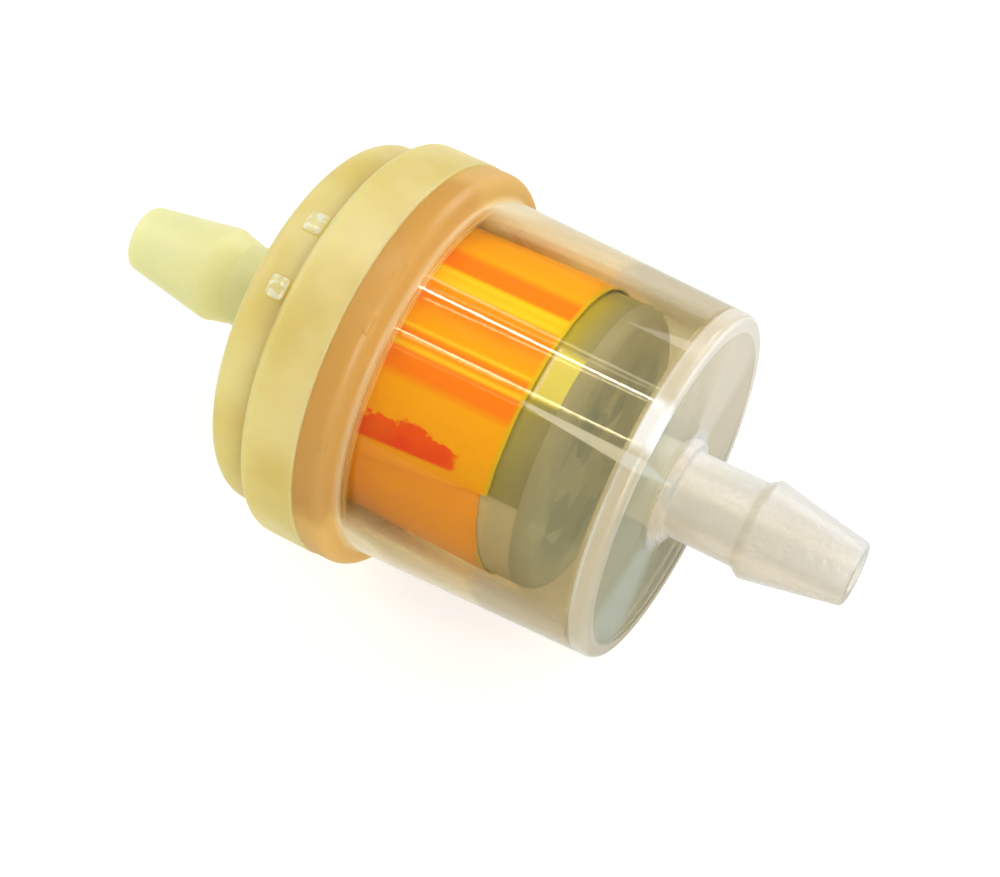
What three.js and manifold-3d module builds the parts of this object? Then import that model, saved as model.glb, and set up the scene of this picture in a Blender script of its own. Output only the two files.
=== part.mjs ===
// In-line fuel filter for a small engine: an amber inlet cap welded to a clear bowl, with a
// cylindrical nylon-mesh element inside that is wrapped in a sheet of orange film.
// Millimetres. The hose axis is X: inlet at -X, outlet at +X, +Z up, origin at the centre.

import * as THREE from "three";
import { mergeVertices } from "three/addons/utils/BufferGeometryUtils.js";
import Module from "manifold-3d";

const wasm = await Module();
wasm.setup();

// ---------------------------------------------------------------- driving dimensions

const ROUND_SIDES = 48; // facets round every turned piece
const CORNER_STEPS = 3; // facets in every rounded corner
const GAP = 0.3; // clearance between pieces that touch on the real filter

// Hose spigots: both are 7 mm stems with an 8 mm barb and a 3 mm bore.
const BORE_R = 1.5;
const STEM_R = 3.5;
const BARB_R = 4.05;
const INLET_TIP_R = 2.85;
const OUTLET_TIP_R = 2.65;
const TIP_ROUND = 0.45;
const HUB_R = 4.3; // low ring at the root of the outlet spigot
const HUB_HEIGHT = 0.6;

// Stations along X.
const INLET_TIP_X = -32.5;
const INLET_BARB_X = -24.1;
const CAP_FACE_X = -15.4;
const CAP_STEP_X = -11.5;
const CAP_JOINT_X = -6.5;
const SHOULDER_X = -3.6; // where the bowl's flange meets its tube
const BOWL_END_X = 17.5;
const OUTLET_BARB_X = 24.6;
const OUTLET_TIP_X = 32.5;

// Inlet cap.
const CAP_DISC_R = 15.6;
const CAP_DISC_ROUND = 1.7;
const CAP_BAND_R = 17.0;
const CAP_BAND_ROUND = 0.6;
const CAP_CAVITY_R = 13.2;
const CAP_CAVITY_X = -13.2;
const SEAT_R = 4.5; // boss that the element's open end fits over
const SEAT_END_X = -10.4;
const TONGUE_R = 14.9; // locating lip that enters the bowl
const TONGUE_WALL = 1.2;
const TONGUE_END_X = -4.9;
const NUB = { length: 1.8, width: 2.0, height: 0.25 };
const NUB_X = -12.7;
const NUB_ANGLES = [8, 29, 188, 209]; // degrees from +Z, turning towards -Y

// Clear bowl.
const FLANGE_R = 16.9;
const FLANGE_ROUND = 1.2;
const TUBE_START_R = 15.2;
const TUBE_END_R = 14.45;
const TUBE_WALL = 1.5;
const END_WALL = 1.4;
const BOWL_ROUND = 0.6;

// Filter element, from the inside out.
const CORE_INNER_R = 10.2;
const CORE_WALL = 0.8;
const CORE_WINDOW = { length: 4.6, width: 6.4, columns: 6, rows: 3 };
const SEAM_R = 11.15;
const SEAM_THICKNESS = 0.25;
const SEAM_WIDTH_DEG = 16;
const SEAM_ANGLE = 250;
const MESH_R = 11.9;
const MESH_THICKNESS = 0.3;
const FILM_INNER_R = 12.05;
const FILM_THICKNESS = 0.2;
const FILM_RISE = 0.4; // radial climb of the rolled film over one turn
const FILM_START_ANGLE = 50; // the inner edge of the film
const FILM_OVERLAP = 16; // degrees of double film
const FILM_END_X = 7.3;
const ELEMENT_R = 12.1;
const OPEN_END_X = -12.8;
const CLOSED_END_X = 11.0;
const END_CAP_THICKNESS = 1.3;
const END_CAP_ROUND = 0.5;
const END_RING = { inner: 9.0, outer: 9.8, height: 1.4 }; // centres each end cap in the core

// Derived places.
const MEDIA_START_X = OPEN_END_X + END_CAP_THICKNESS + GAP;
const MEDIA_END_X = CLOSED_END_X - END_CAP_THICKNESS - GAP;
const MEDIA_LENGTH = MEDIA_END_X - MEDIA_START_X;
const COUNTERBORE_R = TONGUE_R + GAP;
const COUNTERBORE_END_X = TONGUE_END_X + GAP;
const BOWL_START_X = CAP_JOINT_X + GAP;

// ---------------------------------------------------------------- helpers

const radians = THREE.MathUtils.degToRad;

// An outline point: x along the hose axis, r out from it.
function at(x, r) {
  return new THREE.Vector2(r, x);
}

// Outline points of a rounded corner about (x, r), between two angles measured from +X to +r.
function corner(x, r, radius, fromDegrees, toDegrees) {
  return Array.from({ length: CORNER_STEPS + 1 }, (_, step) => {
    const turn = radians(THREE.MathUtils.lerp(fromDegrees, toDegrees, step / CORNER_STEPS));
    return at(x + radius * Math.cos(turn), r + radius * Math.sin(turn));
  });
}

// A turned piece from its closed outline, listed with the outside from -X to +X first.
function turned(outline) {
  const geometry = new THREE.LatheGeometry([...outline, outline[0].clone()], ROUND_SIDES);
  return geometry.rotateZ(-Math.PI / 2);
}

// A plain tube between two stations.
function tube(startX, endX, innerR, outerR) {
  return turned([at(startX, outerR), at(endX, outerR), at(endX, innerR), at(startX, innerR)]);
}

function toSolid(geometry) {
  const bare = geometry.clone();
  bare.deleteAttribute("normal");
  bare.deleteAttribute("uv");
  const merged = mergeVertices(bare, 1e-4);
  const mesh = new wasm.Mesh({
    numProp: 3,
    vertProperties: Float32Array.from(merged.attributes.position.array),
    triVerts: Uint32Array.from(merged.index.array),
  });
  mesh.merge();
  return new wasm.Manifold(mesh);
}

function toGeometry(solid) {
  const mesh = solid.getMesh();
  const geometry = new THREE.BufferGeometry();
  geometry.setAttribute("position", new THREE.BufferAttribute(mesh.vertProperties, 3));
  geometry.setIndex(new THREE.BufferAttribute(mesh.triVerts, 1));
  geometry.computeVertexNormals();
  return geometry;
}

// A box lying against radius r, turned about X by an angle from +Z towards -Y.
function boxAt(x, r, angle, length, width, height) {
  const box = new THREE.BoxGeometry(length, width, height);
  return box.translate(x, 0, r).rotateX(radians(angle));
}

// Carries a section drawn in XY and extruded along Z to a section in YZ extruded along X.
const SECTION_TO_AXIS = new THREE.Matrix4().makeBasis(
  new THREE.Vector3(0, 1, 0), new THREE.Vector3(0, 0, 1), new THREE.Vector3(1, 0, 0));

// A strip of sheet rolled about X: the outline of its section, extruded along the axis.
function rolledSheet(startX, endX, innerR, thickness, startAngle, sweep, rise) {
  const steps = Math.max(4, Math.round(sweep / 7.5));
  const inner = [];
  const outer = [];
  for (let step = 0; step <= steps; step += 1) {
    const turn = radians(startAngle + (sweep * step) / steps);
    const r = innerR + (rise * step * sweep) / (steps * 360);
    const direction = new THREE.Vector2(-Math.sin(turn), Math.cos(turn));
    inner.push(direction.clone().multiplyScalar(r));
    outer.push(direction.clone().multiplyScalar(r + thickness));
  }
  const section = new THREE.Shape([...inner, ...outer.reverse()]);
  const sheet = new THREE.ExtrudeGeometry(section, { depth: endX - startX, bevelEnabled: false });
  return sheet.applyMatrix4(SECTION_TO_AXIS).translate(startX, 0, 0);
}

// ---------------------------------------------------------------- the pieces

function inletCap() {
  const discBackR = CAP_DISC_R - 0.45;
  const neckFillet = 0.7;
  const body = turned([
    at(INLET_TIP_X, BORE_R),
    ...corner(INLET_TIP_X + TIP_ROUND, INLET_TIP_R - TIP_ROUND, TIP_ROUND, 180, 100),
    at(INLET_BARB_X - 0.5, BARB_R),
    at(INLET_BARB_X, BARB_R),
    at(INLET_BARB_X + 1.1, STEM_R),
    at(CAP_FACE_X - neckFillet, STEM_R),
    at(CAP_FACE_X, STEM_R + neckFillet),
    ...corner(CAP_FACE_X + CAP_DISC_ROUND, CAP_DISC_R - CAP_DISC_ROUND, CAP_DISC_ROUND, 180, 90),
    at(CAP_STEP_X - 0.4, discBackR),
    at(CAP_STEP_X, discBackR + 0.3),
    ...corner(CAP_STEP_X + CAP_BAND_ROUND, CAP_BAND_R - CAP_BAND_ROUND, CAP_BAND_ROUND, 180, 90),
    at(CAP_JOINT_X, CAP_BAND_R),
    at(CAP_JOINT_X, TONGUE_R),
    at(TONGUE_END_X, TONGUE_R),
    at(TONGUE_END_X, TONGUE_R - TONGUE_WALL),
    at(CAP_JOINT_X, CAP_CAVITY_R),
    at(CAP_CAVITY_X, CAP_CAVITY_R),
    at(CAP_CAVITY_X, SEAT_R),
    at(SEAT_END_X, SEAT_R),
    at(SEAT_END_X, BORE_R),
  ]);
  const nubs = NUB_ANGLES.map((angle) =>
    toSolid(boxAt(NUB_X, CAP_DISC_R, angle, NUB.length, NUB.width, 2 * NUB.height)));
  return toGeometry(nubs.reduce((whole, nub) => whole.add(nub), toSolid(body)));
}

function filterBowl() {
  const shoulderR = TUBE_START_R + 0.4;
  const insideEndX = BOWL_END_X - END_WALL;
  const roundX = BOWL_END_X - BOWL_ROUND;
  const roundR = TUBE_END_R - BOWL_ROUND;
  return turned([
    at(BOWL_START_X, COUNTERBORE_R),
    at(BOWL_START_X, FLANGE_R),
    ...corner(SHOULDER_X - 0.2 - FLANGE_ROUND, FLANGE_R - FLANGE_ROUND, FLANGE_ROUND, 90, 0),
    at(SHOULDER_X - 0.2, shoulderR),
    at(SHOULDER_X + 0.4, TUBE_START_R),
    ...corner(roundX, roundR, BOWL_ROUND, 88, 0),
    at(BOWL_END_X, HUB_R),
    at(BOWL_END_X + HUB_HEIGHT, HUB_R - 0.3),
    at(BOWL_END_X + HUB_HEIGHT + 0.4, STEM_R),
    at(OUTLET_BARB_X - 0.5, STEM_R),
    at(OUTLET_BARB_X, BARB_R),
    at(OUTLET_BARB_X + 0.5, BARB_R),
    ...corner(OUTLET_TIP_X - TIP_ROUND, OUTLET_TIP_R - TIP_ROUND, TIP_ROUND, 80, 0),
    at(OUTLET_TIP_X, BORE_R),
    at(insideEndX, BORE_R),
    ...corner(insideEndX - BOWL_ROUND, roundR - TUBE_WALL + BOWL_ROUND, BOWL_ROUND, 0, 88),
    at(COUNTERBORE_END_X, TUBE_START_R - TUBE_WALL),
    at(COUNTERBORE_END_X, COUNTERBORE_R),
  ]);
}

// A tube with rows of windows, cut by bars that each pass through both sides.
function elementCore() {
  const outerR = CORE_INNER_R + CORE_WALL;
  const pitch = MEDIA_LENGTH / CORE_WINDOW.rows;
  let core = toSolid(tube(MEDIA_START_X, MEDIA_END_X, CORE_INNER_R, outerR));
  for (let row = 0; row < CORE_WINDOW.rows; row += 1) {
    const x = MEDIA_START_X + (row + 0.5) * pitch;
    for (let column = 0; column < CORE_WINDOW.columns / 2; column += 1) {
      const angle = (column * 360) / CORE_WINDOW.columns;
      const bar = boxAt(x, 0, angle, CORE_WINDOW.length, CORE_WINDOW.width, 3 * outerR);
      core = core.subtract(toSolid(bar));
    }
  }
  return toGeometry(core);
}

function filterMesh() {
  return tube(MEDIA_START_X, MEDIA_END_X, MESH_R - MESH_THICKNESS, MESH_R);
}

function meshSeamStrip() {
  return rolledSheet(
    MEDIA_START_X, MEDIA_END_X, SEAM_R, SEAM_THICKNESS, SEAM_ANGLE, SEAM_WIDTH_DEG, 0);
}

function colourFilm() {
  return rolledSheet(
    MEDIA_START_X + GAP, FILM_END_X, FILM_INNER_R, FILM_THICKNESS,
    FILM_START_ANGLE, 360 + FILM_OVERLAP, FILM_RISE);
}

function closedEndCap() {
  const faceX = CLOSED_END_X - END_CAP_THICKNESS;
  const ringX = faceX - END_RING.height;
  return turned([
    at(ringX, END_RING.inner),
    at(ringX, END_RING.outer),
    at(faceX, END_RING.outer),
    at(faceX, ELEMENT_R),
    ...corner(CLOSED_END_X - END_CAP_ROUND, ELEMENT_R - END_CAP_ROUND, END_CAP_ROUND, 90, 0),
    at(CLOSED_END_X, 0),
    at(faceX, 0),
    at(faceX, END_RING.inner),
  ]);
}

function openEndCap() {
  const faceX = OPEN_END_X + END_CAP_THICKNESS;
  const ringX = faceX + END_RING.height;
  return turned([
    at(OPEN_END_X, SEAT_R + GAP),
    ...corner(OPEN_END_X + END_CAP_ROUND, ELEMENT_R - END_CAP_ROUND, END_CAP_ROUND, 180, 90),
    at(faceX, ELEMENT_R),
    at(faceX, END_RING.outer),
    at(ringX, END_RING.outer),
    at(ringX, END_RING.inner),
    at(faceX, END_RING.inner),
    at(faceX, SEAT_R + GAP),
  ]);
}

// ---------------------------------------------------------------- the assembly

function plastic(color, roughness, opacity = 1) {
  return new THREE.MeshStandardMaterial({
    color, roughness, metalness: 0, opacity, transparent: opacity < 1,
  });
}

const amberNylon = plastic(0xe0cc81, 0.45, 0.95);
const clearStyrene = plastic(0xdcd4c0, 0.12, 0.35);
const orangeFilm = plastic(0xf59d1e, 0.15, 0.8);
const greyMesh = plastic(0x8a865a, 0.6, 0.9);
const greyPlastic = plastic(0x9a9674, 0.5);

const element = new THREE.Group();
const filter = new THREE.Group();
filter.add(element);

function addPiece(parent, name, geometry, material) {
  const piece = new THREE.Mesh(geometry, material);
  piece.name = name;
  parent.add(piece);
}

addPiece(filter, "inlet_cap", inletCap(), amberNylon);
addPiece(filter, "filter_bowl", filterBowl(), clearStyrene);
addPiece(element, "element_open_end_cap", openEndCap(), greyPlastic);
addPiece(element, "element_core", elementCore(), greyPlastic);
addPiece(element, "filter_mesh", filterMesh(), greyMesh);
addPiece(element, "mesh_seam_strip", meshSeamStrip(), greyPlastic);
addPiece(element, "colour_film", colourFilm(), orangeFilm);
addPiece(element, "element_closed_end_cap", closedEndCap(), greyPlastic);

export default filter;
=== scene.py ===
"""The looks of an in-line fuel filter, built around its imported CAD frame. Sizes are in metres."""
import math

import bmesh
import bpy
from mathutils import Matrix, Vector, noise


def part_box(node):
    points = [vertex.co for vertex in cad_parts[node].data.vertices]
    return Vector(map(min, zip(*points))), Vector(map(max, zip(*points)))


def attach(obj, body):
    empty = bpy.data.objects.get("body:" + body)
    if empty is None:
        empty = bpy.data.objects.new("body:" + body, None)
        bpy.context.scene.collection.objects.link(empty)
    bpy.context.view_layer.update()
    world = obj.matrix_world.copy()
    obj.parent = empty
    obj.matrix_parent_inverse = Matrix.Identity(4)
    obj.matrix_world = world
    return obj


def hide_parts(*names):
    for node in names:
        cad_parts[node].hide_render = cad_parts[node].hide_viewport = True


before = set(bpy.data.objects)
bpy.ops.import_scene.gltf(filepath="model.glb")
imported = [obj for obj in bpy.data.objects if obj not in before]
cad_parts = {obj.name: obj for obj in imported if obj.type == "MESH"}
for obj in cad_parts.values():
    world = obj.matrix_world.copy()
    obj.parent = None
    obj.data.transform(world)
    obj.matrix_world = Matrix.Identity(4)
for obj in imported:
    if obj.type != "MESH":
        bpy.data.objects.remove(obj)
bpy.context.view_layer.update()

MM = 0.001
SIDES = 192  # facets round a turned piece
SHARP_DEGREES = 35  # edges that turn by more than this stay sharp
WHITE = (1, 1, 1)

# ---------------------------------------------------------------- places taken from the frame

cap_low, cap_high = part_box("inlet_cap")
bowl_low, bowl_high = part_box("filter_bowl")
mesh_low, mesh_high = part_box("filter_mesh")
film_low, film_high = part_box("colour_film")
closed_low, closed_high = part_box("element_closed_end_cap")

INLET_TIP_X = cap_low.x
OUTLET_TIP_X = bowl_high.x
FLANGE_R = bowl_high.z
CAP_BAND_R = cap_high.z
BOWL_START_X = bowl_low.x
TONGUE_END_X = cap_high.x
MESH_R = mesh_high.z

# Features that the boxes don't give, as in the CAD part.
BORE_R = 1.5 * MM
STEM_R = 3.5 * MM
BARB_R = 4.05 * MM
INLET_TIP_R = 2.85 * MM
OUTLET_TIP_R = 2.65 * MM
TIP_ROUND = 0.45 * MM
SEAT_R = 4.5 * MM
INLET_BARB_X = INLET_TIP_X + 8.4 * MM
CAP_FACE_X = INLET_TIP_X + 17.1 * MM
CAP_STEP_X = INLET_TIP_X + 21.0 * MM
CAP_JOINT_X = BOWL_START_X - 0.3 * MM
CAP_DISC_R = 15.6 * MM
CAP_CAVITY_R = 13.2 * MM
CAP_CAVITY_X = CAP_FACE_X + 2.2 * MM
SEAT_END_X = CAP_FACE_X + 5.0 * MM
TONGUE_R = 14.9 * MM
TONGUE_WALL = 1.2 * MM
TONGUE_GAP = 0.3 * MM
SHOULDER_X = BOWL_START_X + 2.6 * MM
TUBE_START_R = 15.2 * MM
TUBE_END_R = 14.45 * MM
TUBE_WALL = 1.5 * MM
BOWL_END_X = OUTLET_TIP_X - 15.0 * MM
END_WALL = 1.4 * MM
BOWL_ROUND = 0.6 * MM
OUTLET_BARB_X = OUTLET_TIP_X - 7.9 * MM
HUB_R = 4.3 * MM
HUB_HEIGHT = 0.6 * MM

# Small raised blocks: where each stands, in degrees round from the top, and its length along the
# filter, its width round it and its rounding.
NUB_TURNS = (8, 29, 188, 209)
NUB_X = CAP_FACE_X + 2.7 * MM
NUB_SIZE = (1.8 * MM, 2.0 * MM, 0.45 * MM)
NUB_HEIGHT = 0.22 * MM
PIP_TURNS = (12, 28, 61, 192, 208, 241)
PIP_X = SHOULDER_X - 1.0 * MM
PIP_SIZE = (0.8 * MM, 1.7 * MM, 0.3 * MM)
BLOCK_DEPTH = 2.0 * MM

# ---------------------------------------------------------------- node trees


class NodeTree:
    """A short way to build a node tree. A value is a number, a colour or another node's output."""

    def __init__(self, tree):
        self.tree = tree

    def put(self, node, key, value):
        """Sets one input of a node, or links it to another node's output."""
        socket = node.inputs[key]
        if isinstance(value, bpy.types.NodeSocket):
            self.tree.links.new(value, socket)
        elif socket.type == "RGBA":
            socket.default_value = (*value, 1)
        else:
            socket.default_value = value

    def fill(self, node, **inputs):
        """Sets a node's inputs by name, with _ for each space."""
        for key, value in inputs.items():
            self.put(node, key.replace("_", " "), value)

    def add(self, kind, settings=None, **inputs):
        node = self.tree.nodes.new(kind)
        for key, value in (settings or {}).items():
            setattr(node, key, value)
        self.fill(node, **inputs)
        return node

    def math(self, operation, *values, clamp=False):
        node = self.add("ShaderNodeMath", {"operation": operation, "use_clamp": clamp})
        for index, value in enumerate(values):
            self.put(node, index, value)
        return node.outputs[0]

    def times(self, a, b):
        return self.math("MULTIPLY", a, b)

    def line(self, value, slope, start):
        """value * slope + start."""
        return self.math("MULTIPLY_ADD", value, slope, start)

    def inverse(self, value, clamp=False):
        """1 - value."""
        return self.math("SUBTRACT", 1.0, value, clamp=clamp)

    def total(self, terms):
        """The sum of the terms, each a value and its weight."""
        result = 0.0
        for value, weight in terms:
            result = self.line(value, weight, result)
        return result

    def rescale(self, value, low, high, smooth=False):
        """0 at low and 1 at high, clamped. A low above the high makes it fall."""
        kind = "SMOOTHSTEP" if smooth else "LINEAR"
        node = self.add("ShaderNodeMapRange", {"interpolation_type": kind}, Value=value)
        self.fill(node, From_Min=low, From_Max=high)
        return node.outputs["Result"]

    def step(self, value, low, high):
        return self.rescale(value, low, high, smooth=True)

    def band(self, value, low, high, soft):
        """1 where value is between low and high, fading to 0 over soft at either end."""
        rise = self.step(value, low - soft, low + soft)
        fall = self.step(value, high - soft, high + soft)
        return self.times(rise, self.inverse(fall))

    def mix(self, share, a, b):
        """The colour a where share is 0, and b where it is 1."""
        node = self.add("ShaderNodeMix", {"data_type": "RGBA"})
        for key, value in ((0, share), (6, a), (7, b)):
            self.put(node, key, value)
        return node.outputs[2]

    def length(self, vector):
        node = self.add("ShaderNodeVectorMath", {"operation": "LENGTH"})
        self.put(node, 0, vector)
        return node.outputs["Value"]

    def noise(self, position, scale, stretch=(1, 1, 1), detail=2.0, roughness=0.5):
        mapping = self.add("ShaderNodeMapping", Vector=position, Scale=stretch)
        node = self.add("ShaderNodeTexNoise", Vector=mapping.outputs[0], Scale=scale,
                        Detail=detail, Roughness=roughness)
        return node.outputs["Fac"]

    def ramp(self, share, stops):
        node = self.add("ShaderNodeValToRGB", Fac=share)
        elements = node.color_ramp.elements
        while len(elements) < len(stops):
            elements.new(0.5)
        for element, (position, colour) in zip(elements, stops):
            element.position = position
            element.color = (*colour, 1)
        return node.outputs[0]


class Material(NodeTree):
    """One material's node tree, with its shader and its output."""

    def __init__(self, name):
        self.material = bpy.data.materials.new(name)
        self.material.use_nodes = True
        super().__init__(self.material.node_tree)
        self.shader = self.tree.nodes["Principled BSDF"]
        self.output = self.tree.nodes["Material Output"]

    def set(self, **inputs):
        self.fill(self.shader, **inputs)

    def where(self):
        """The position, its millimetres along X, and its degrees round X from +Z towards -Y."""
        position = self.add("ShaderNodeTexCoord").outputs["Object"]
        split = self.add("ShaderNodeSeparateXYZ", Vector=position)
        along = self.times(split.outputs["X"], 1 / MM)
        turn = self.math("ARCTAN2", self.times(split.outputs["Y"], -1.0), split.outputs["Z"])
        return position, along, self.times(turn, 180 / math.pi)

    def radius(self, position):
        """Distance from the hose axis in millimetres."""
        across = self.add("ShaderNodeVectorMath", {"operation": "MULTIPLY"})
        self.put(across, 0, position)
        self.put(across, 1, (0, 1 / MM, 1 / MM))
        return self.length(across.outputs[0])

    def bump(self, height, distance, strength):
        node = self.add("ShaderNodeBump", Height=height, Distance=distance, Strength=strength)
        self.set(Normal=node.outputs[0])

    def see_through_shadows(self, tint):
        """Lets lamps shine through clear plastic: shadow rays meet a tinted transparent surface."""
        shadow_ray = self.add("ShaderNodeLightPath").outputs["Is Shadow Ray"]
        clear = self.add("ShaderNodeBsdfTransparent", Color=tint)
        mixer = self.add("ShaderNodeMixShader")
        for index, value in enumerate((shadow_ray, self.shader.outputs[0], clear.outputs[0])):
            self.put(mixer, index, value)
        self.put(self.output, "Surface", mixer.outputs[0])


# ---------------------------------------------------------------- camera, lights and floor

CAMERA_AZIMUTH = math.radians(30.5)
CAMERA_ELEVATION = math.radians(54.8)
CAMERA_DISTANCE = 158.4 * MM
CAMERA_LENS = 72.4
CAMERA_SENSOR = 36.0
CAMERA_NEAREST = 0.01
CAMERA_AIM = Vector((2.85, -1.76, -1.58)) * MM

# Long lamps along X over the filter, each reflected as one bright line along the bowl:
# name, tilt in degrees from the top towards -Y, height, width, power and colour.
STRIP_LENGTH = 0.4
STRIP_X = -0.18
STRIPS = (
    ("strip_far", -9.0, 0.55, 0.014, 0.5, (1.0, 0.96, 0.84)),
    ("strip_near", 18.0, 0.55, 0.012, 0.32, (1.0, 0.9, 0.6)),
    ("strip_edge", 27.5, 0.57, 0.02, 0.05, (1.0, 0.85, 0.4)),
    ("strip_top", -17.0, 0.57, 0.02, 0.14, (1.0, 0.94, 0.76)),
)
# White panels that face the filter: name, location, size and power.
PANELS = (
    ("outlet_panel", (0.6, -0.25, 0.6), (0.6, 0.6), 1.3),
    ("inlet_panel", (-0.75, 0.0, 0.35), (0.5, 0.5), 1.7),
    ("back_panel", (0.2, 0.75, 0.4), (0.6, 0.5), 3.0),
    ("side_panel", (0.45, -0.4, 0.5), (0.3, 0.3), 1.6),
    ("front_panel", (0.45, -0.75, 0.2), (0.5, 0.4), 0.3),
)

# The studio round the filter: its colours, and the directions over which one fades into the next.
LOW_FRONT = (0.03, 0.03, 0.03)
LOW_BACK = (0.8, 0.8, 0.78)
LOW_OUTLET = (0.15, 0.15, 0.15)
HIGH_INLET = (0.4, 0.4, 0.39)
HIGH_MIDDLE = (0.1, 0.1, 0.098)
HIGH_OUTLET = (0.5, 0.5, 0.49)
LOW_BACK_FROM_Y = (-0.45, 0.1)
LOW_OUTLET_FROM_X = (-0.1, 0.25)
HIGH_MIDDLE_FROM_X = (-0.75, -0.6)
HIGH_OUTLET_FROM_X = (0.05, 0.35)
HIGH_FROM_Z = (-0.1, 0.15)

LIGHT_BOUNCES = 32
VOLUME_BOUNCES = 4

FLOOR_HALF = 3.0
FLOOR_GAP = 0.02 * MM
FLOOR_COLOUR = (0.62, 0.62, 0.61)
GLOW_NEAR = 0.57
GLOW_FAR_EXTRA = 0.45
# Less glow where the floor is seen through the bowl: painted shade under the filter.
GLOW_THROUGH_BOWL_PAINTED_SHADE = -0.12
GLOW_RISE = (0.05, 0.5)  # distances from the filter between which the glow grows


def link(obj):
    bpy.context.scene.collection.objects.link(obj)
    return obj


def facing(location, target):
    """The rotation that points an object's -Z at the target, with its Y up."""
    return (Vector(target) - Vector(location)).to_track_quat("-Z", "Y").to_euler()


def make_camera():
    azimuth, elevation = CAMERA_AZIMUTH, CAMERA_ELEVATION
    back = Vector((
        math.sin(azimuth) * math.cos(elevation),
        -math.cos(azimuth) * math.cos(elevation),
        math.sin(elevation),
    ))
    data = bpy.data.cameras.new("camera")
    data.lens = CAMERA_LENS
    data.sensor_width = CAMERA_SENSOR
    data.clip_start = CAMERA_NEAREST
    camera = link(bpy.data.objects.new("camera", data))
    camera.location = CAMERA_AIM + back * CAMERA_DISTANCE
    camera.rotation_euler = facing(camera.location, CAMERA_AIM)
    bpy.context.scene.camera = camera


def make_world():
    """White for straight and refracted sight lines, and an uneven studio for all other rays."""
    world = bpy.data.worlds.new("studio")
    bpy.context.scene.world = world
    world.use_nodes = True
    nodes = NodeTree(world.node_tree)
    direction = nodes.add("ShaderNodeTexCoord").outputs["Generated"]
    x, y, z = nodes.add("ShaderNodeSeparateXYZ", Vector=direction).outputs
    low = nodes.mix(nodes.step(y, *LOW_BACK_FROM_Y), LOW_FRONT, LOW_BACK)
    low = nodes.mix(nodes.step(x, *LOW_OUTLET_FROM_X), low, LOW_OUTLET)
    high = nodes.mix(nodes.step(x, *HIGH_MIDDLE_FROM_X), HIGH_INLET, HIGH_MIDDLE)
    high = nodes.mix(nodes.step(x, *HIGH_OUTLET_FROM_X), high, HIGH_OUTLET)
    studio = nodes.mix(nodes.step(z, *HIGH_FROM_Z), low, high)
    # The depth counts the background itself, so one more is taken off.
    path = nodes.add("ShaderNodeLightPath").outputs
    scattered = nodes.math("SUBTRACT", path["Ray Depth"], path["Transmission Depth"])
    scattered = nodes.math("SUBTRACT", scattered, 1.0, clamp=True)
    background = world.node_tree.nodes["Background"]
    nodes.fill(background, Color=nodes.mix(scattered, WHITE, studio), Strength=1.0)


def area_light(name, location, rotation, size, power, colour):
    data = bpy.data.lights.new(name, "AREA")
    data.shape = "RECTANGLE"
    data.size, data.size_y = size
    data.energy = power
    data.color = colour
    light = link(bpy.data.objects.new(name, data))
    light.location = location
    light.rotation_euler = rotation


def make_lights():
    for name, tilt_degrees, height, width, power, colour in STRIPS:
        tilt = math.radians(tilt_degrees)
        location = (STRIP_X, -height * math.sin(tilt), height * math.cos(tilt))
        area_light(name, location, (-tilt, 0, 0), (STRIP_LENGTH, width), power, colour)
    for name, location, size, power in PANELS:
        area_light(name, location, facing(location, (0, 0, 0)), size, power, WHITE)
    cycles = bpy.context.scene.cycles
    cycles.max_bounces = LIGHT_BOUNCES
    cycles.transmission_bounces = LIGHT_BOUNCES
    cycles.transparent_max_bounces = LIGHT_BOUNCES
    cycles.volume_bounces = VOLUME_BOUNCES
    bpy.context.scene.view_settings.view_transform = "Standard"


def make_floor():
    """A pale floor just under the filter, with a glow that keeps it white, dimmed where it is seen
    through the bowl as painted shade. Gloss doesn't see it.
    """
    half, z = FLOOR_HALF, -CAP_BAND_R - FLOOR_GAP
    mesh = bpy.data.meshes.new("floor")
    corners = [(-half, -half, z), (half, -half, z), (half, half, z), (-half, half, z)]
    mesh.from_pydata(corners, [], [(0, 1, 2, 3)])
    floor = link(bpy.data.objects.new("floor", mesh))
    nodes = Material("floor")
    position, _, _ = nodes.where()
    glow = nodes.line(nodes.step(nodes.length(position), *GLOW_RISE), GLOW_FAR_EXTRA, GLOW_NEAR)
    # Seen through the bowl the floor glows less, as painted shade under the filter.
    through = nodes.add("ShaderNodeLightPath").outputs["Transmission Depth"]
    glow = nodes.line(nodes.step(through, 0.0, 2.0), GLOW_THROUGH_BOWL_PAINTED_SHADE, glow)
    nodes.set(Base_Color=FLOOR_COLOUR, Roughness=0.9, Specular_IOR_Level=0.0,
              Emission_Color=WHITE, Emission_Strength=glow)
    mesh.materials.append(nodes.material)
    floor.visible_glossy = False


make_camera()
make_world()
make_lights()
make_floor()

# ---------------------------------------------------------------- materials


def srgb(red, green, blue):
    """A colour given as 0 to 255 screen values, as linear light."""
    return tuple(
        value / 255 / 12.92 if value <= 10 else ((value / 255 + 0.055) / 1.055) ** 2.4
        for value in (red, green, blue)
    )


# The node trees measure along the filter in millimetres, and round it in degrees.
SHOULDER = SHOULDER_X / MM
BOWL_END = BOWL_END_X / MM
BOWL_INNER_END = BOWL_END - END_WALL / MM
FILM_END = film_high.x / MM
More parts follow.
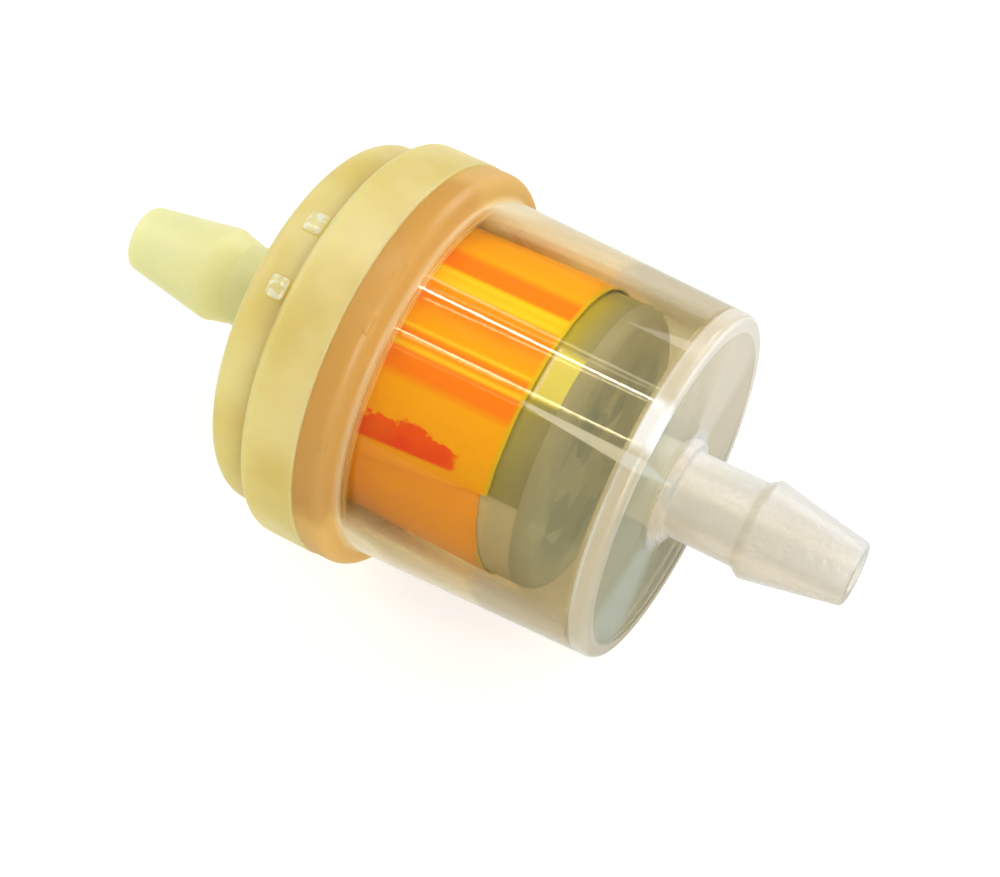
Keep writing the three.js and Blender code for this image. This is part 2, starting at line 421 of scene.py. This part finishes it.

# The bowl's tints. Beside the film it is hazier, and tinted darker there as painted shade; the side
# away from -Y is paler at the end.
CLEAR_TINT = (0.93, 0.82, 0.53)
BESIDE_FILM_SHADE_TINT = (0.8, 0.67, 0.39)
FLANGE_TINT = (0.75, 0.45, 0.115)
PAST_FILM_TINT = (0.74, 0.69, 0.52)
PAST_FILM_SIDE_SHADE_TINT = (0.57, 0.49, 0.31)
END_WALL_TINT = (0.72, 0.85, 0.85)
END_WALL_AWAY_TINT = (0.93, 0.89, 0.77)
END_RIM_TINT = (0.72, 0.68, 0.56)
END_RIM_AWAY_TINT = (0.88, 0.84, 0.74)
# A painted glint on the end rim.
RIM_GLINT_TINT = (1.0, 1.0, 0.98)
OUTLET_TINT = (0.77, 0.77, 0.75)
# A painted highlight along the top of the outlet.
OUTLET_PAINTED_HIGHLIGHT_TINT = (0.97, 0.96, 0.94)
BOWL_SHADOW_TINT = (0.965, 0.95, 0.89)
BOWL_ABSORBS = (0.95, 0.78, 0.45)
BOWL_SCATTERS = (0.98, 0.86, 0.3)
BOWL_ROUGHNESS = 0.03

# Zones along the bowl: the share is 0 at the first place and 1 at the second.
ALONG_ZONES = {
    "flange": (SHOULDER + 0.5, SHOULDER - 0.3),
    "cloudy": (SHOULDER + 0.5, SHOULDER + 0.1),
    "near_shoulder": (SHOULDER + 5.0, SHOULDER),
    "past_film": (FILM_END, FILM_END + 1.5),
    "end_wall": (BOWL_INNER_END - 0.15, BOWL_INNER_END + 0.15),
    "end_face": (BOWL_END - 0.25, BOWL_END - 0.1),
}
CORNER_ALONG = (SHOULDER + 4.5, SHOULDER + 0.5)
OUTLET_ALONG = (BOWL_END - 0.4, BOWL_END - 0.1)
PAST_GRAZING = (BOWL_INNER_END - 0.5, BOWL_INNER_END)

# Zones across the bowl, in millimetres from its axis, with shares as above.
RIM_RADII = (13.0, 13.3)
PAST_HUB_RADII = (HUB_R / MM + 0.1, HUB_R / MM + 1.2)

# Zones round the bowl, in degrees from the top towards -Y: from, to, and how softly they end.
ABOVE_FILM_TURNS = (-78.0, -29.0, 12.0)
BELOW_FILM_TURNS = (93.0, 136.0, 12.0)
RIM_GLINT_TURNS = (11.0, 26.0, 3.0)
OUTLET_PAINTED_HIGHLIGHT_TURNS = (0.0, 26.0, 6.0)
AWAY_TURNS = (-140.0, 8.0, 35.0)
AWAY_DRIFT = 80.0

# The flow line: its middle and half its width in degrees at the origin, what each millimetre
# along adds to them, and where it starts.
FLOW_LINE_TURN, FLOW_LINE_SLANT = 26.9, 0.22
FLOW_LINE_WIDTH, FLOW_LINE_WIDENING = -0.6, 0.16
FLOW_LINE_START = 8.0

# How milky and how rough each zone is.
BOWL_HAZE = {
    "corner": 0.38, "cloudy": 0.6, "flow_line": 0.45, "end_rim": 0.55, "rim_glint": 0.35,
    "away_face": 0.5, "outlet": 0.4, "beside_film": 0.22,
}
BOWL_ROUGH = {"cloudy": 0.32, "outlet": 0.14, "corner": 0.12, "end_rim": 0.1, "end_face": 0.06}
GRAZING_HAZE = 0.55
GRAZING_HAZE_AT_SHOULDER = 0.4


def bowl_zones(nodes):
    """The share, from 0 to 1, that each zone of the bowl has at a point."""
    position, along, turn = nodes.where()
    radius = nodes.radius(position)
    zones = {name: nodes.step(along, *places) for name, places in ALONG_ZONES.items()}
    zones["end_rim"] = nodes.times(zones["end_wall"], nodes.step(radius, *RIM_RADII))
    # A painted glint: the end rim whiter and milkier between two turns.
    zones["rim_glint"] = nodes.times(zones["end_rim"], nodes.band(turn, *RIM_GLINT_TURNS))
    hub = nodes.inverse(nodes.step(radius, *PAST_HUB_RADII))
    zones["outlet"] = nodes.times(hub, nodes.step(along, *OUTLET_ALONG))
    # A grainy painted highlight along the top of the outlet.
    streaks = nodes.noise(position, 2600, detail=1)
    zones["outlet_streak"] = nodes.times(nodes.band(turn, *OUTLET_PAINTED_HIGHLIGHT_TURNS), streaks)

    # A flow line that runs along the bowl near the outlet, and widens towards it.
    middle = nodes.line(along, FLOW_LINE_SLANT, FLOW_LINE_TURN)
    off_line = nodes.math("ABSOLUTE", nodes.math("SUBTRACT", turn, middle))
    half_width = nodes.line(along, FLOW_LINE_WIDENING, FLOW_LINE_WIDTH)
    on_line = nodes.step(nodes.math("DIVIDE", off_line, half_width), 1.15, 0.75)
    zones["flow_line"] = nodes.times(on_line, nodes.band(along, FLOW_LINE_START, BOWL_END, 0.6))

    # Two stretches along the bowl, above and below the film seen from -Y.
    zones["beside_film"] = nodes.math(
        "ADD", nodes.band(turn, *ABOVE_FILM_TURNS), nodes.band(turn, *BELOW_FILM_TURNS))
    corner = nodes.step(along, *CORNER_ALONG)
    zones["corner"] = nodes.times(corner, zones["beside_film"])

    # The end wall's side away from -Y, with an uneven border.
    drift = nodes.math("SUBTRACT", nodes.noise(position, 110), 0.5)
    zones["away"] = nodes.band(nodes.line(drift, AWAY_DRIFT, turn), *AWAY_TURNS)
    zones["away_face"] = nodes.times(zones["end_face"], zones["away"])

    # Surfaces that turn away from the eye, apart from the end wall and the bowl over the film.
    grazing = nodes.add("ShaderNodeLayerWeight", Blend=0.5).outputs["Facing"]
    grazing = nodes.step(grazing, 0.4, 0.7)
    grazing = nodes.times(grazing, nodes.inverse(nodes.step(along, *PAST_GRAZING)))
    off_film = nodes.math("MAXIMUM", zones["beside_film"], zones["past_film"])
    zones["grazing"] = nodes.times(grazing, off_film)
    return position, zones


def bowl_tint(nodes, zones):
    away, beside_film = zones["away"], zones["beside_film"]
    # The darker tints beside the film are painted shade.
    past_film = nodes.mix(beside_film, PAST_FILM_TINT, PAST_FILM_SIDE_SHADE_TINT)
    end_wall = nodes.mix(away, END_WALL_TINT, END_WALL_AWAY_TINT)
    end_rim = nodes.mix(away, END_RIM_TINT, END_RIM_AWAY_TINT)
    # The outlet, paler where its highlight is painted.
    outlet = nodes.mix(zones["outlet_streak"], OUTLET_TINT, OUTLET_PAINTED_HIGHLIGHT_TINT)
    tint = nodes.mix(beside_film, CLEAR_TINT, BESIDE_FILM_SHADE_TINT)
    for zone, zone_tint in (
        ("flange", FLANGE_TINT), ("past_film", past_film), ("end_wall", end_wall),
        ("end_rim", end_rim), ("rim_glint", RIM_GLINT_TINT), ("outlet", outlet),
    ):
        tint = nodes.mix(zones[zone], tint, zone_tint)
    return tint


def bowl_plastic():
    """Clear moulded plastic with a yellowish depth, more milky in some of its zones."""
    nodes = Material("bowl_plastic")
    position, zones = bowl_zones(nodes)
    haze = nodes.total((zones[zone], share) for zone, share in BOWL_HAZE.items())
    rough = nodes.total((zones[zone], share) for zone, share in BOWL_ROUGH.items())
    grazing_haze = nodes.line(zones["near_shoulder"], GRAZING_HAZE_AT_SHOULDER, GRAZING_HAZE)
    haze = nodes.line(zones["grazing"], grazing_haze, haze)
    nodes.set(Base_Color=bowl_tint(nodes, zones), IOR=1.45,
              Roughness=nodes.math("ADD", rough, BOWL_ROUGHNESS),
              Transmission_Weight=nodes.inverse(haze, clamp=True))
    waves = nodes.noise(position, 160, stretch=(0.25, 1, 1))
    grain = nodes.times(nodes.noise(position, 1500), nodes.times(zones["outlet"], 8.0))
    height = nodes.line(waves, nodes.inverse(zones["cloudy"]), grain)
    nodes.bump(height, 0.02 * MM, 0.5)
    nodes.see_through_shadows(BOWL_SHADOW_TINT)
    absorb = nodes.add("ShaderNodeVolumeAbsorption", Color=BOWL_ABSORBS, Density=110.0)
    scatter = nodes.add("ShaderNodeVolumeScatter", Color=BOWL_SCATTERS, Density=60.0,
                        Anisotropy=0.0)
    both = nodes.add("ShaderNodeAddShader")
    nodes.put(both, 0, absorb.outputs[0])
    nodes.put(both, 1, scatter.outputs[0])
    nodes.put(nodes.output, "Volume", both.outputs[0])
    return nodes.material


DISC_AMBER = (srgb(218, 197, 114), srgb(234, 219, 153))
SPIGOT_AMBER = (srgb(234, 229, 158), srgb(245, 241, 186))
# Painted white glints on the nub tops.
NUB_PAINTED_GLINT = srgb(255, 252, 232)
AMBER_LIGHT_REACH = (1.0, 0.8, 0.4)  # how far red, green and blue light spread inside


def amber_nylon():
    """Pale amber translucent nylon, cloudy, greener on the spigot, and glossy on the raised nubs
    with painted white glints on their tops.
    """
    nodes = Material("amber_nylon")
    position, along, _ = nodes.where()
    face, step, disc_r = CAP_FACE_X / MM, CAP_STEP_X / MM, CAP_DISC_R / MM
    cloud = nodes.noise(position, 90, detail=3)
    disc = nodes.mix(nodes.step(cloud, 0.3, 0.7), *DISC_AMBER)
    spigot = nodes.mix(cloud, *SPIGOT_AMBER)
    colour = nodes.mix(nodes.step(along, face - 0.5, face - 3.5), disc, spigot)
    above_disc = nodes.step(nodes.radius(position), disc_r + 0.05, disc_r + 0.15)
    before_step = nodes.step(along, step - 0.02, step - 0.12)
    nub_top = nodes.times(above_disc, before_step)
    # Painted glints: white specks on the nub tops.
    glint_specks = nodes.step(nodes.noise(position, 1400, detail=1), 0.5, 0.58)
    glint_share = nodes.times(nub_top, nodes.line(glint_specks, 0.5, 0.2))
    nodes.set(
        Base_Color=nodes.mix(glint_share, colour, NUB_PAINTED_GLINT), IOR=1.5,
        Roughness=nodes.line(nub_top, -0.3, 0.42),
        Subsurface_Weight=1.0, Subsurface_Scale=5.0 * MM, Subsurface_Radius=AMBER_LIGHT_REACH,
        Coat_Weight=0.08, Coat_Roughness=0.15,
    )
    nodes.bump(nodes.noise(position, 700, detail=3), 0.04 * MM, 0.35)
    return nodes.material


FILM_ORANGE = srgb(255, 182, 6)
FILM_BRIGHT = srgb(255, 200, 8)
FILM_YELLOW = srgb(255, 238, 24)
# A painted glint of the lamps on the film.
FILM_GLINT = srgb(255, 248, 70)
FILM_DEEP = srgb(255, 140, 2)
FILM_RED = srgb(248, 46, 0)
# Darker orange of the single layer below the seam, partly painted shade on the film's lower side.
FILM_UNDER = srgb(255, 170, 0)
# A painted yellow-green glow along the film's cut end.
FILM_PAINTED_EDGE_GLOW = srgb(226, 214, 50)
FILM_SEAM = 67.0  # degrees round from the top, where the outer layer ends
FILM_SEAM_SLANT = 0.65  # degrees for each millimetre along
FILM_UNDER_WIDTH = 45.0  # degrees of darker single layer below the seam

# The red patch: degrees round the film at its upper and lower borders and millimetres along at
# its left and right ones, each from share 0 to share 1. The upper border bows about its middle.
TOUCH_UPPER = (50.2, 51.8)
TOUCH_LOWER = (61.6, 60.2)
TOUCH_LEFT = (-10.0, -8.0)
TOUCH_RIGHT = (4.5, 3.9)
TOUCH_MIDDLE = 0.8
TOUCH_BOW = 0.14
TOUCH_LOWER_SLANT = 0.3
# The film's own orange tones round it, with painted reflections: bright and deep streaks where its
# creases mirror the studio, and painted glints of the lamps.
FILM_TONES_AND_PAINTED_REFLECTIONS = (  # degrees round from the top, and the colour there
    (-30, FILM_BRIGHT), (-16, FILM_BRIGHT), (-12.5, FILM_DEEP), (-6, FILM_DEEP),
    (-4.5, FILM_YELLOW), (-3, FILM_GLINT), (-2, FILM_YELLOW), (1.0, FILM_GLINT),
    (2.5, FILM_ORANGE), (9, FILM_DEEP), (14, FILM_ORANGE), (19, FILM_BRIGHT), (20, FILM_GLINT),
    (21, FILM_ORANGE), (22.5, FILM_DEEP), (25.5, FILM_ORANGE), (27, FILM_GLINT),
    (28.5, FILM_DEEP), (35, FILM_DEEP), (38.5, FILM_BRIGHT), (58, FILM_BRIGHT),
    (66, FILM_ORANGE), (90, FILM_BRIGHT),
)


def film_tones_and_painted_reflections(nodes, position, turn):
    """The film's tones and its painted reflection streaks, drifting by a degree or so, and repeated
    all the way round.
    """
    first, last = FILM_TONES_AND_PAINTED_REFLECTIONS[0][0], FILM_TONES_AND_PAINTED_REFLECTIONS[-1][0]
    drift = nodes.noise(position, 55, stretch=(0.25, 1, 1))
    turn_here = nodes.line(drift, 3.0, nodes.math("ADD", turn, -1.5))
    wrapped = nodes.math("WRAP", turn_here, first, last)
    return nodes.ramp(nodes.rescale(wrapped, first, last), [
        ((degrees - first) / (last - first), colour) for degrees, colour in FILM_TONES_AND_PAINTED_REFLECTIONS])


def film_touching(nodes, position, along, turn):
    """The share of the patch where the film's two layers touch, with a bowed and jagged border."""
    jagged = nodes.noise(position, 1700, stretch=(0.7, 1, 1), roughness=0.6)
    jagged = nodes.math("SUBTRACT", jagged, 0.5)
    off_middle = nodes.math("ABSOLUTE", nodes.math("SUBTRACT", along, TOUCH_MIDDLE))
    bow = nodes.times(nodes.math("POWER", off_middle, 2.0), TOUCH_BOW)
    upper = nodes.line(jagged, 10.0, nodes.math("SUBTRACT", turn, bow))
    upper = nodes.step(upper, *TOUCH_UPPER)
    lower = nodes.step(nodes.line(along, TOUCH_LOWER_SLANT, turn), *TOUCH_LOWER)
    right = nodes.step(nodes.line(jagged, 1.2, along), *TOUCH_RIGHT)
    left = nodes.step(along, *TOUCH_LEFT)
    return nodes.times(nodes.times(upper, lower), nodes.times(left, right))


def orange_film():
    """Tinted foil with painted bright and deep reflection streaks and glints along it, deep red
    where its two layers touch.
    """
    nodes = Material("orange_film")
    position, along, turn = nodes.where()
    fine = nodes.noise(position, 700, stretch=(0.03, 1, 1), roughness=0.6)
    # The film's tones with painted reflections and glints.
    streaks = film_tones_and_painted_reflections(nodes, position, turn)
    colour = nodes.mix(nodes.times(fine, 0.35), streaks, FILM_DEEP)
    touching = film_touching(nodes, position, along, turn)
    deep_share = nodes.math("MULTIPLY_ADD", nodes.noise(position, 300), 0.6, 0.62, clamp=True)
    colour = nodes.mix(nodes.times(touching, deep_share), colour, FILM_RED)
    # Below the seam: a single layer, darker partly as painted shade.
    past_seam = nodes.line(along, FILM_SEAM_SLANT, turn)
    under = nodes.band(past_seam, FILM_SEAM, FILM_SEAM + FILM_UNDER_WIDTH, 0.3)
    colour = nodes.mix(nodes.times(under, 0.85), colour, FILM_UNDER)
    # A painted glow along the film's end.
    edge_glow = nodes.step(along, FILM_END - 0.45, FILM_END - 0.15)
    colour = nodes.mix(nodes.times(edge_glow, 0.8), colour, FILM_PAINTED_EDGE_GLOW)
    nodes.set(Base_Color=colour, Roughness=0.25, Specular_IOR_Level=0.05,
              Coat_Weight=0.06, Coat_Roughness=0.04)
    nodes.bump(nodes.noise(position, 240, stretch=(0.15, 1, 1)), 0.06 * MM, 0.4)
    return nodes.material


MESH_OLIVE = (srgb(152, 158, 132), srgb(176, 180, 156))
MESH_PALE = (srgb(212, 207, 188), srgb(224, 219, 202))
# Painted light on the mesh: yellow light from the film beside it, a lit patch and a thin line of
# light.
MESH_PAINTED_FILM_LIGHT = srgb(206, 198, 52)
MESH_LIT = srgb(255, 255, 150)
MESH_PAINTED_LIGHT_LINE = srgb(255, 253, 225)
# Turns round the mesh and places along it, each from, to, and how softly it ends.
PALE_TURNS = (63.0, 150.0, 0.7)
PAINTED_FILM_LIGHT_TURNS = (-30.0, 28.0, 6.0)
LIT_TURNS = (5.0, 25.0, 1.2)
LIGHT_LINE_TURNS = (5.0, 25.0, 0.6)
LIT_ALONG = (FILM_END + 0.1, FILM_END + 3.3, 0.25)
LIGHT_LINE_ALONG = (FILM_END + 0.1, FILM_END + 0.4, 0.08)


def grey_mesh():
    """Fine grey mesh, pale on one stretch, with painted yellow light from the film beside it, and a
    painted lit patch there edged by a painted line of light.
    """
    nodes = Material("grey_mesh")
    position, along, turn = nodes.where()
    patches = nodes.noise(position, 230)
    pale = nodes.band(turn, *PALE_TURNS)
    colour = nodes.mix(pale, nodes.mix(patches, *MESH_OLIVE), nodes.mix(patches, *MESH_PALE))
    # Painted yellow light from the film on the mesh beside it.
    film_light_share = nodes.line(nodes.band(turn, *PAINTED_FILM_LIGHT_TURNS), 0.6, 0.3)
    film_light_share = nodes.times(film_light_share, nodes.step(turn, 64.0, 60.0))
    glow = nodes.times(nodes.step(along, FILM_END + 2.6, FILM_END - 0.2), film_light_share)
    colour = nodes.mix(glow, colour, MESH_PAINTED_FILM_LIGHT)
    # A painted patch of yellow lamp light on the mesh by the film's end.
    lit = nodes.times(nodes.band(turn, *LIT_TURNS), nodes.band(along, *LIT_ALONG))
    colour = nodes.mix(lit, colour, MESH_LIT)
    # A painted thin line of light along the patch's edge by the film.
    light_line = nodes.times(nodes.band(turn, *LIGHT_LINE_TURNS), nodes.band(along, *LIGHT_LINE_ALONG))
    nodes.set(Base_Color=nodes.mix(light_line, colour, MESH_PAINTED_LIGHT_LINE), Roughness=0.5)
    return nodes.material


WARM_GREY = (srgb(182, 184, 170), srgb(198, 198, 184))
COOL_GREY = (srgb(136, 152, 154), srgb(156, 167, 165))


def element_plastic():
    """Grey moulded plastic with cool and warm flats, like a lightly crazed surface."""
    nodes = Material("element_plastic")
    position, _, _ = nodes.where()
    cells = nodes.add("ShaderNodeTexVoronoi", Vector=position, Scale=330.0)
    tone = nodes.add("ShaderNodeSeparateColor", Color=cells.outputs["Color"])
    cloud = nodes.noise(position, 420, detail=3)
    share = nodes.line(nodes.step(nodes.radius(position), 10.5, 8.0), 0.75, 0.25)
    share = nodes.times(share, nodes.step(tone.outputs["Red"], -0.2, 0.9))
    colour = nodes.mix(share, nodes.mix(cloud, *WARM_GREY), nodes.mix(cloud, *COOL_GREY))
    nodes.set(Base_Color=colour, Roughness=0.42)
    nodes.bump(cloud, 0.015 * MM, 0.2)
    return nodes.material


BOWL = bowl_plastic()
AMBER = amber_nylon()
FILM = orange_film()
MESH = grey_mesh()
ELEMENT = element_plastic()

# ---------------------------------------------------------------- shapes


def arc(x, r, radius, start, end, steps=8):
    """Outline points of a rounded corner about (x, r), between two angles from +X towards +r."""
    turns = [math.radians(start + (end - start) * step / steps) for step in range(steps + 1)]
    return [(x + radius * math.cos(turn), r + radius * math.sin(turn)) for turn in turns]


def around(x, r, degrees):
    """A point r out from the hose axis, turned from +Z towards -Y."""
    turn = math.radians(degrees)
    return (x, -r * math.sin(turn), r * math.cos(turn))


def smoothed(mesh):
    for polygon in mesh.polygons:
        polygon.use_smooth = True
    mesh.set_sharp_from_angle(angle=math.radians(SHARP_DEGREES))
    return mesh


def solid(name, vertices, faces):
    """An object of one closed mesh, with every face turned to point out."""
    mesh = bpy.data.meshes.new(name)
    mesh.from_pydata(vertices, [], faces)
    work = bmesh.new()
    work.from_mesh(mesh)
    bmesh.ops.recalc_face_normals(work, faces=work.faces)
    work.to_mesh(mesh)
    work.free()
    return link(bpy.data.objects.new(name, smoothed(mesh)))


def turned(name, outline):
    """A closed outline of (x, r) points, turned about X. A point with r 0 is a pole."""
    vertices, rings = [], []
    for x, r in outline:
        if r == 0:
            rings.append([len(vertices)] * SIDES)
            vertices.append((x, 0, 0))
        else:
            rings.append(list(range(len(vertices), len(vertices) + SIDES)))
            vertices += [around(x, r, 360 * side / SIDES) for side in range(SIDES)]
    faces = []
    for ring, after in zip(rings, rings[1:] + rings[:1]):
        for side in range(SIDES):
            beside = (side + 1) % SIDES
            corners = (ring[side], ring[beside], after[beside], after[side])
            corners = list(dict.fromkeys(corners))
            if len(corners) > 2:
                faces.append(corners)
    return solid(name, vertices, faces)


def rounded_block(x, turn, size, top):
    """A small rounded block on a turned face, with its upper face at the radius top."""
    length, width, rounding = size
    work = bmesh.new()
    bmesh.ops.create_cube(work, size=1.0)
    for vertex in work.verts:
        along, across, up = vertex.co
        vertex.co = Vector((length * along, width * across, BLOCK_DEPTH * (up + 0.5)))
    bmesh.ops.bevel(work, geom=work.edges[:], offset=rounding, segments=4, profile=0.5,
                    affect="EDGES")
    mesh = bpy.data.meshes.new("block")
    work.to_mesh(mesh)
    work.free()
    block = link(bpy.data.objects.new("block", mesh))
    block.location = around(x, top - BLOCK_DEPTH, turn)
    block.rotation_euler = (math.radians(turn), 0, 0)
    return block


def unite(piece, blocks):
    """Unites each block with the piece, so that one closed mesh is left."""
    for block in blocks:
        union = piece.modifiers.new("union", "BOOLEAN")
        union.operation = "UNION"
        union.solver = "EXACT"
        union.object = block
    bpy.context.view_layer.update()
    graph = bpy.context.evaluated_depsgraph_get()
    mesh = bpy.data.meshes.new_from_object(piece.evaluated_get(graph))
    piece.modifiers.clear()
    piece.data = smoothed(mesh)
    for block in blocks:
        bpy.data.objects.remove(block)


def paint(obj, material):
    obj.data.materials.clear()
    obj.data.materials.append(material)


def place(piece, material, node):
    """Paints a piece and rides it on the part's one body, in the place of its CAD node."""
    paint(piece, material)
    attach(piece, "root")
    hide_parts(node)


# ---------------------------------------------------------------- pieces


def make_cap():
    disc_back_r = CAP_DISC_R - 0.1 * MM
    barb, neck, fillet, disc_edge = 1.2 * MM, 1.0 * MM, 0.8 * MM, 1.7 * MM
    step_foot, step_top, edge = 0.6 * MM, 0.9 * MM, 0.15 * MM
    cap = turned("inlet_cap_shell", [
        (INLET_TIP_X, BORE_R),
        *arc(INLET_TIP_X + TIP_ROUND, INLET_TIP_R - TIP_ROUND, TIP_ROUND, 180, 100),
        *arc(INLET_BARB_X - 0.6 * MM, BARB_R - barb, barb, 100, 62, 5),
        *arc(INLET_BARB_X + 1.7 * MM, STEM_R + neck, neck, 240, 270, 4),
        *arc(CAP_FACE_X - fillet, STEM_R + fillet, fillet, 270, 360, 6),
        *arc(CAP_FACE_X + disc_edge, CAP_DISC_R - disc_edge, disc_edge, 180, 90, 12),
        *arc(CAP_STEP_X - 0.5 * MM, disc_back_r + step_foot, step_foot, 270, 345, 6),
        *arc(CAP_STEP_X + 1.0 * MM, CAP_BAND_R - step_top, step_top, 165, 90, 8),
        *arc(CAP_JOINT_X - edge, CAP_BAND_R - edge, edge, 90, 0, 3),
        (CAP_JOINT_X, TONGUE_R),
        (TONGUE_END_X, TONGUE_R),
        (TONGUE_END_X, TONGUE_R - TONGUE_WALL),
        (CAP_JOINT_X, CAP_CAVITY_R),
        (CAP_CAVITY_X, CAP_CAVITY_R),
        (CAP_CAVITY_X, SEAT_R),
        (SEAT_END_X, SEAT_R),
        (SEAT_END_X, BORE_R),
    ])
    nub_top = CAP_DISC_R + NUB_HEIGHT
    unite(cap, [rounded_block(NUB_X, turn, NUB_SIZE, nub_top) for turn in NUB_TURNS])
    place(cap, AMBER, "inlet_cap")


def make_bowl():
    flange_start = CAP_JOINT_X + 0.02 * MM
    counterbore_r, counterbore_end = TONGUE_R + TONGUE_GAP, TONGUE_END_X + TONGUE_GAP
    inside_end = BOWL_END_X - END_WALL
    round_x, round_r = BOWL_END_X - BOWL_ROUND, TUBE_END_R - BOWL_ROUND
    hub_end = BOWL_END_X + HUB_HEIGHT
    edge, shoulder, foot, hub_edge = 0.15 * MM, 1.2 * MM, 0.4 * MM, 0.2 * MM
    shoulder_r = TUBE_START_R + foot
    fillet, barb = 0.3 * MM, 0.4 * MM
    bowl = turned("filter_bowl_shell", [
        (flange_start, counterbore_r),
        *arc(flange_start + edge, FLANGE_R - edge, edge, 180, 90, 3),
        *arc(SHOULDER_X - 1.4 * MM, FLANGE_R - shoulder, shoulder, 90, 0, 10),
        (SHOULDER_X - 0.2 * MM, shoulder_r),
        *arc(SHOULDER_X + 0.2 * MM, shoulder_r, foot, 180, 270, 4),
        *arc(round_x, round_r, BOWL_ROUND, 88, 0, 10),
        (BOWL_END_X, HUB_R),
        *arc(hub_end - hub_edge, HUB_R - 0.3 * MM, hub_edge, 80, 0, 4),
        *arc(hub_end + fillet, STEM_R + fillet, fillet, 180, 270, 4),
        *arc(OUTLET_BARB_X - 0.9 * MM, STEM_R + fillet, fillet, 270, 320, 4),
        *arc(OUTLET_BARB_X + 0.1 * MM, BARB_R - barb, barb, 130, 80, 5),
        *arc(OUTLET_TIP_X - TIP_ROUND, OUTLET_TIP_R - TIP_ROUND, TIP_ROUND, 80, 0),
        *arc(OUTLET_TIP_X - edge, BORE_R + edge, edge, 0, -90, 3),
        (inside_end, BORE_R),
        *arc(inside_end - BOWL_ROUND, round_r - TUBE_WALL + BOWL_ROUND, BOWL_ROUND, 0, 88, 8),
        (counterbore_end, TUBE_START_R - TUBE_WALL),
        (counterbore_end, counterbore_r),
    ])
    unite(bowl, [rounded_block(PIP_X, turn, PIP_SIZE, FLANGE_R) for turn in PIP_TURNS])
    place(bowl, BOWL, "filter_bowl")


FILM_STEPS = 380  # round the film
FILM_ROWS = 36  # along the film
FILM_START_TURN = 50
FILM_THICKNESS = 0.12 * MM
FILM_INNER_R = 12.1 * MM
FILM_CLIMB = 0.2 * MM  # how far it climbs in one sweep of FILM_CLIMB_TURN degrees
FILM_CLIMB_TURN = 376
FILM_SLANT_FROM_X = -6 * MM  # the seam slants only beyond this
FILM_SKEW = 0.95 * MM  # how far the inner corner is drawn in, fading over FILM_SKEW_TURN degrees
FILM_SKEW_TURN = 50
FILM_WRINKLE = 0.05 * MM


def film_point(layer, step, row):
    """One vertex of the film. The layer is 0 for its inner face and 1 for its outer face."""
    start_x, end_x = film_low.x + 0.1 * MM, film_high.x - 0.02 * MM
    x = start_x + (end_x - start_x) * row / FILM_ROWS
    end_turn = 360 + FILM_SEAM - FILM_SEAM_SLANT * max(x, FILM_SLANT_FROM_X) / MM
    sweep = (end_turn - FILM_START_TURN) * step / FILM_STEPS
    turn = FILM_START_TURN + sweep
    skew = FILM_SKEW * max(0.0, 1 - sweep / FILM_SKEW_TURN) * row / FILM_ROWS
    side = Vector((0, math.cos(math.radians(turn)), math.sin(math.radians(turn))))
    wrinkle = noise.noise(Vector((x * 40, 0, 0)) + 6 * side)
    wrinkle += 0.4 * noise.noise(Vector((x * 120, 3, 0)) + 16 * side)
    r = FILM_INNER_R + FILM_CLIMB * sweep / FILM_CLIMB_TURN + layer * FILM_THICKNESS
    return around(x - skew, r + FILM_WRINKLE * wrinkle, turn)


def make_film():
    """The film: one sheet rolled a little over once round, climbing over its own inner edge."""
    steps, rows, layers = range(FILM_STEPS), range(FILM_ROWS), (0, 1)
    vertices = [film_point(layer, step, row) for layer in layers
                for step in range(FILM_STEPS + 1) for row in range(FILM_ROWS + 1)]

    def index(layer, step, row):
        return (layer * (FILM_STEPS + 1) + step) * (FILM_ROWS + 1) + row

    faces = [
        (index(layer, step, row), index(layer, step + 1, row),
         index(layer, step + 1, row + 1), index(layer, step, row + 1))
        for step in steps for row in rows for layer in layers]
    faces += [
        (index(0, step, row), index(0, step + 1, row), index(1, step + 1, row), index(1, step, row))
        for step in steps for row in (0, FILM_ROWS)]
    faces += [
        (index(0, step, row), index(0, step, row + 1), index(1, step, row + 1), index(1, step, row))
        for row in rows for step in (0, FILM_STEPS)]
    place(solid("colour_film_sheet", vertices, faces), FILM, "colour_film")


def make_element():
    """The mesh sleeve, its moulded end, and the material of the CAD pieces under them."""
    wall, edge, corner = 0.25 * MM, 0.08 * MM, 1.0 * MM
    face_x = closed_high.x - 1.3 * MM
    sleeve_r = MESH_R + 0.1 * MM
    sleeve_end = face_x - 0.01 * MM
    sleeve = turned("filter_mesh_sleeve", [
        *arc(mesh_low.x + edge, sleeve_r - edge, edge, 180, 90, 3),
        (sleeve_end, sleeve_r),
        (sleeve_end, MESH_R - wall),
        (mesh_low.x, MESH_R - wall),
    ])
    place(sleeve, MESH, "filter_mesh")

    plug_r = 9.8 * MM
    plug_inner_r = plug_r - 0.8 * MM
    cap = turned("closed_end_cap_disc", [
        (closed_low.x, plug_inner_r),
        (closed_low.x, plug_r),
        (face_x, plug_r),
        (face_x, sleeve_r),
        *arc(closed_high.x - corner, sleeve_r - corner, corner, 90, 0, 10),
        (closed_high.x, 0),
        (face_x, 0),
        (face_x, plug_inner_r),
    ])
    place(cap, ELEMENT, "element_closed_end_cap")
    for node in ("element_open_end_cap", "element_core", "mesh_seam_strip"):
        paint(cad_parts[node], ELEMENT)


make_cap()
make_bowl()
make_film()
make_element()
